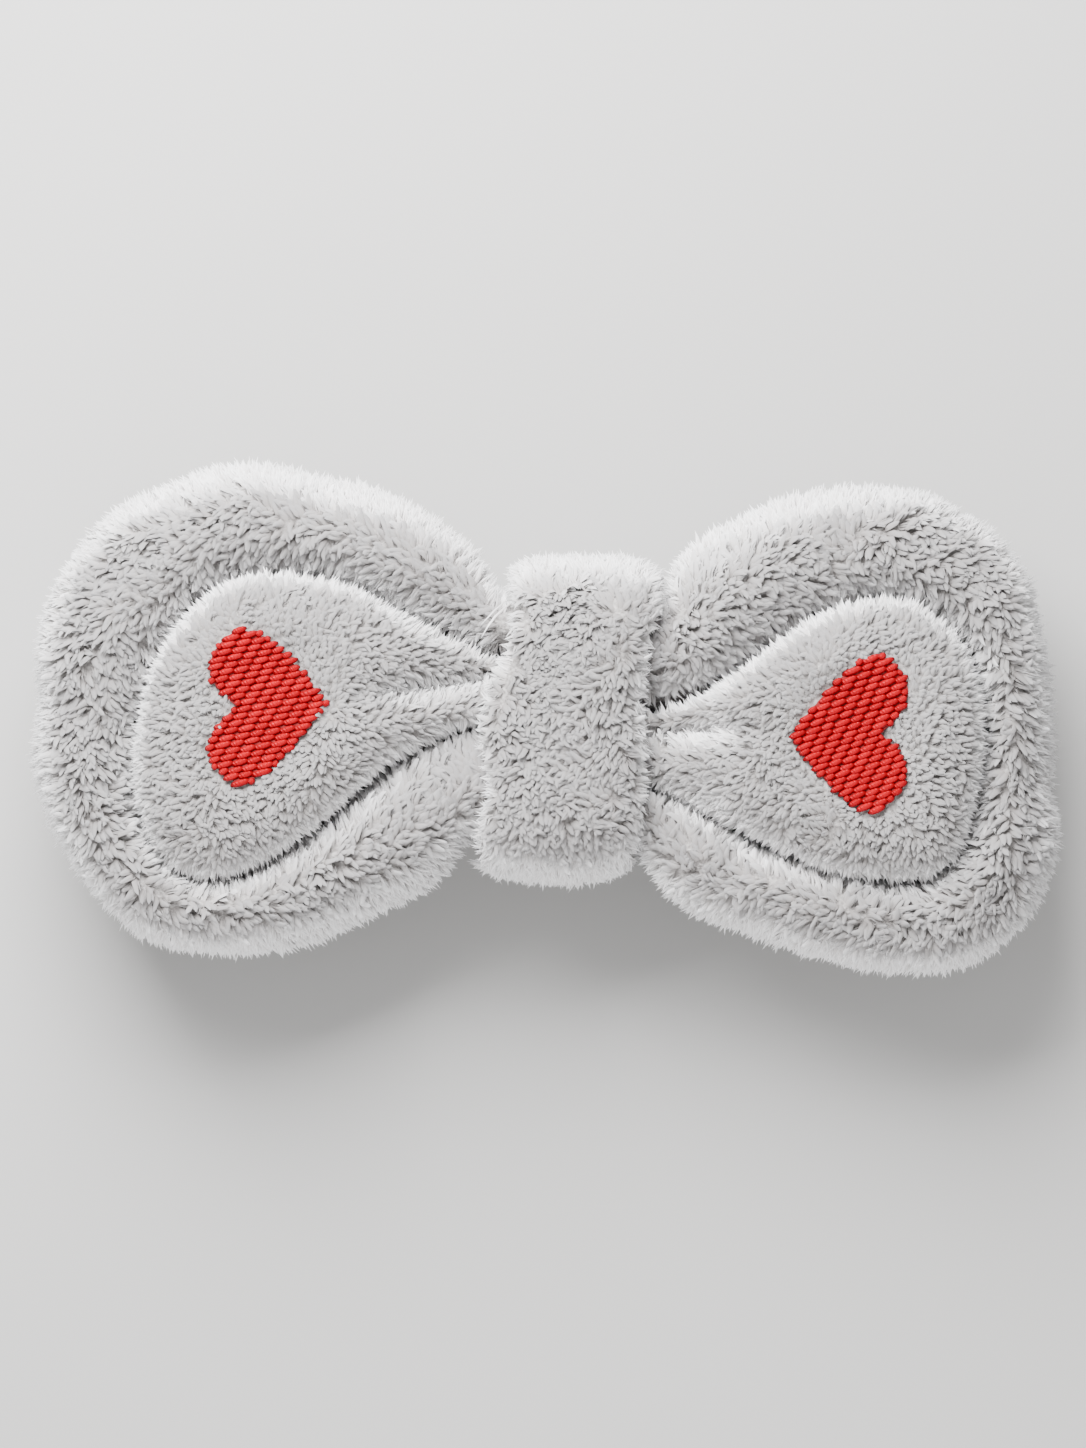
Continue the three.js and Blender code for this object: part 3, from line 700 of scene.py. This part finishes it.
def stitch_mesh(name, start, end, height, rng):
    """Satin stitches as one mesh. Each is a round bundle of thread whose middle line rises
    between its two holes as 1-(2t-1)^4 and whose girth falls off to its ends."""
    t = np.array([-0.14, 0.1, 0.5, 0.9, 1.14])
    girth = np.array([0.35, 0.86, 1.0, 0.86, 0.35]) * stitch_girth / 2
    corners = 6
    count, steps = len(start), len(t)
    flat = start[:, None] + t[None, :, None] * (end - start)[:, None]
    lift = stitch_arch * (1 - (2 * t - 1) ** 4) - stitch_sink
    level = height(flat.reshape(-1, 2)).reshape(count, steps) + lift
    level += rng.normal(0, 0.06 * mm, count)[:, None]
    line = np.concatenate([flat, level[..., None]], axis=2)
    way = unit(end - start)
    side = np.stack([-way[:, 1], way[:, 0], np.zeros(count)], axis=1)[:, None, None]
    turn = np.linspace(0, 2 * np.pi, corners, endpoint=False)[:, None]
    ring = np.cos(turn) * side + np.sin(turn) * np.array([0, 0, 0.6])
    rings = line[:, :, None] + girth[None, :, None, None] * ring
    tips = np.stack([flat[:, 0], flat[:, -1]], axis=1)
    tip_level = height(tips.reshape(-1, 2)).reshape(count, 2) - needle_depth
    tips = np.concatenate([tips, tip_level[..., None]], axis=2)
    points = np.concatenate([rings.reshape(count, -1, 3), tips], axis=1)
    per_stitch = steps * corners + 2
    here = np.arange(corners)
    after = (here + 1) % corners
    first = np.arange(steps - 1)[:, None] * corners
    lower = np.stack([first + here, first + corners + here, first + after], axis=-1)
    upper = np.stack([first + after, first + corners + here, first + corners + after], axis=-1)
    last = (steps - 1) * corners
    foot = np.stack([after, np.full(corners, per_stitch - 2), here], axis=-1)
    cap = np.stack([last + here, np.full(corners, per_stitch - 1), last + after], axis=-1)
    pattern = np.concatenate([lower.reshape(-1, 3), upper.reshape(-1, 3), foot, cap])
    faces = (np.arange(count)[:, None, None] * per_stitch + pattern).reshape(-1, 3)
    mesh = bpy.data.meshes.new(name)
    mesh.from_pydata(points.reshape(-1, 3), [], faces)
    mesh.polygons.foreach_set("use_smooth", np.ones(len(faces), bool))
    colours = np.ones((count, per_stitch, 4))
    colours[:, :, 0] = np.concatenate([np.repeat(t, corners), [0, 1]])
    colours[:, :, 1] = rng.random(count)[:, None]
    around = np.tile(np.cos(turn[:, 0]) / 2 + 0.5, steps)
    colours[:, :, 2] = np.concatenate([around, [0.5, 0.5]])
    thread = mesh.color_attributes.new("thread", "FLOAT_COLOR", "POINT")
    thread.data.foreach_set("color", colours.ravel())
    return mesh


def thread_material():
    """Red rayon thread: glossy, darker where a stitch dives into its holes, which is painted shade,
    with its twist as slanting ridges."""
    material, wire = new_material("red_thread")
    thread = wire.node("ShaderNodeAttribute", {"attribute_name": "thread"})
    parts = wire.node("ShaderNodeSeparateColor", {}, {0: thread})
    along, tone, around = parts, parts.part(1), parts.part(2)
    ends = wire.math("POWER", wire.math("ABSOLUTE", along - 0.5, 0) * 2.0, 3.0)
    red = wire.mixed((0.32, 0.0, 0.006, 1), (0.24, 0.0, 0.004, 1), tone)
    # Painted shade: the thread darkens towards its ends, where it dives into its holes.
    colour = wire.mixed(red, (0.08, 0.0, 0.001, 1), ends * 0.55)
    twist = wire.math("SINE", along * 30.0 + around * 5.0, 0)
    relief = wire.node("ShaderNodeBump", {}, {"Strength": 0.5, "Distance": 0.12 * mm, "Height": twist})
    surface(
        wire,
        Base_Color=colour,
        Roughness=0.27,
        Normal=relief,
        Specular_IOR_Level=0.3,
        Specular_Tint=(1.0, 0.16, 0.2, 1),
    )
    return material


def ground_material():
    """The ground of the embroidery, seen only in needle holes: matt dark red."""
    material, wire = new_material("red_ground")
    place = wire.node("ShaderNodeTexCoord", {}, {}, 3)
    patch = wire.node("ShaderNodeTexNoise", {}, {"Vector": place, "Scale": 700.0})
    colour = wire.mixed((0.10, 0.0, 0.001, 1), (0.30, 0.002, 0.004, 1), patch)
    surface(wire, Base_Color=colour, Roughness=0.8)
    return material


red_thread = thread_material()
red_ground = ground_material()


def ground_mesh(name, ring, height):
    """A closed sheet that fills a heart: two faces of rings towards its middle, one above the
    other, joined by a rim."""
    middle = ring.mean(axis=0)
    shares = np.array([0.97, 0.7, 0.35])[:, None, None]
    flat = (middle + shares * (ring - middle)).reshape(-1, 2)
    count = len(ring)
    flat = np.concatenate([flat, middle[None]])
    front = np.column_stack([flat, height(flat) - ground_depth])
    back = front - (0, 0, ground_thickness)
    here = np.arange(count)
    after = (here + 1) % count
    first = np.array([0, count])[:, None]
    quads = np.stack([first + here, first + after, first + count + after, first + count + here], axis=-1)
    fan = np.stack([2 * count + here, 2 * count + after, np.full(count, 3 * count)], axis=-1)
    under = len(front)
    rim = np.stack([here + under, after + under, after, here], axis=-1)
    faces = [*quads.reshape(-1, 4).tolist(), *fan.tolist()]
    faces += [[i + under for i in face[::-1]] for face in faces]
    faces += rim.tolist()
    mesh = bpy.data.meshes.new(name)
    mesh.from_pydata(np.concatenate([front, back]), [], faces)
    tidy = bmesh.new()
    tidy.from_mesh(mesh)
    bmesh.ops.recalc_face_normals(tidy, faces=tidy.faces)
    tidy.to_mesh(mesh)
    tidy.free()
    return mesh


for seed, which in enumerate(("left", "right")):
    node = f"{which}_heart_embroidery"
    rng = np.random.default_rng(60 + seed)
    top = height_fit(node)
    starts, ends = heart_rows(hearts[which], row_rise[which], rng)
    stitches = new_object(f"{which}_heart_stitches", stitch_mesh("stitches", starts, ends, top, rng))
    stitches.data.materials.append(red_thread)
    ground = new_object(f"{which}_heart_ground", ground_mesh("ground", hearts[which], top))
    ground.data.materials.append(red_ground)
    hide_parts(node)
    for piece in (stitches, ground):
        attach(piece, "root")


# Knot. A padded strip of the same plush is wrapped over the gathered necks and the band and
# sewn to itself behind.
def knot_pile_share(points, normals):
    """Pile only on the outside of the wrap: where the skin faces away from its middle."""
    middle_z = (knot_low.z + knot_high.z) / 2
    away = points[:, 1] * normals[:, 1] + (points[:, 2] - middle_z) * normals[:, 2]
    return np.where((away < 0) & (np.abs(normals[:, 0]) < 0.8), 0, 1)


def even_inset(depth):
    """The same depth everywhere."""
    return lambda points, normals: np.full(len(points), depth)


knot_stroke = stroked(-0.1, -0.4)
knot = padded_skin("knot_skin", "knot_wrap", even_inset(1.6 * mm), 0.4 * mm, 1.4 * mm)
knot.data.materials.append(fleece_knit)
pile("knot_locks", knot, on_level(knot_pile_share), 40, knot_stroke, tufts=1.4,
     length=3.5 * mm, breadth=1.35 * mm, strands=3, curl=0.26)
pile("knot_fibres", knot, on_slopes(knot_pile_share), 41, knot_stroke, tufts=1.1,
     length=3.4 * mm, breadth=1.0 * mm, strands=3, body=False)


# Head band. A tube of the same plush over elastic goes round the head. Its pile is shorter, and
# pressed flat where the band lies.
upper_run = 17 * mm  # the band's upper run lies above this


def band_pile_share(points, normals):
    """An even pile, none on the upper run of the band where the knot covers it."""
    middle_x = (knot_low.x + knot_high.x) / 2
    half_width = (knot_high.x - knot_low.x) / 2 - knot_cover
    covered = (np.abs(points[:, 0] - middle_x) < half_width) & (points[:, 2] > upper_run)
    return np.where(covered, 0, 1)


band = padded_skin("head_band_skin", "head_band", even_inset(1.1 * mm), 0.1 * mm, 1.5 * mm)
band.data.materials.append(fleece_knit)
pile("head_band_pile", band, band_pile_share, 50, stroked(0.3, -0.6), tufts=0.28, length=2.5 * mm,
     breadth=2.1 * mm, strands=2, body=False)


# Stage. A plain pale floor, a large soft light beyond the bow's top edge, a weak one before its
# lower edge, and a pale room.
def floor_mesh(half):
    """A square floor, half metres to each side."""
    mesh = bpy.data.meshes.new("floor")
    corners = [(-half, -half, 0), (half, -half, 0), (half, half, 0), (-half, half, 0)]
    mesh.from_pydata(corners, [], [(0, 1, 2, 3)])
    return mesh


floor_material, floor_wire = new_material("floor")
surface(floor_wire, Base_Color=(0.42, 0.415, 0.41, 1), Roughness=0.9)
floor = new_object("floor", floor_mesh(3.0))
floor.data.materials.append(floor_material)


def soft_light(name, place, size, power):
    """A square area light at a place, turned to the headband."""
    data = bpy.data.lights.new(name, "AREA")
    data.size = size
    data.energy = power
    light = bpy.data.objects.new(name, data)
    light.location = place
    light.rotation_euler = (Vector((0, 0, 0.03)) - Vector(place)).to_track_quat("-Z", "Y").to_euler()
    bpy.context.scene.collection.objects.link(light)


soft_light("window", (-0.13, 0.37, 0.40), 0.42, 18)
soft_light("fill", (-0.10, -0.55, 0.22), 0.5, 3.8)
world = bpy.data.worlds.new("room")
world.use_nodes = True
world.node_tree.nodes["Background"].inputs["Color"].default_value = (1.0, 1.0, 1.0, 1)
world.node_tree.nodes["Background"].inputs["Strength"].default_value = 0.78
bpy.context.scene.world = world
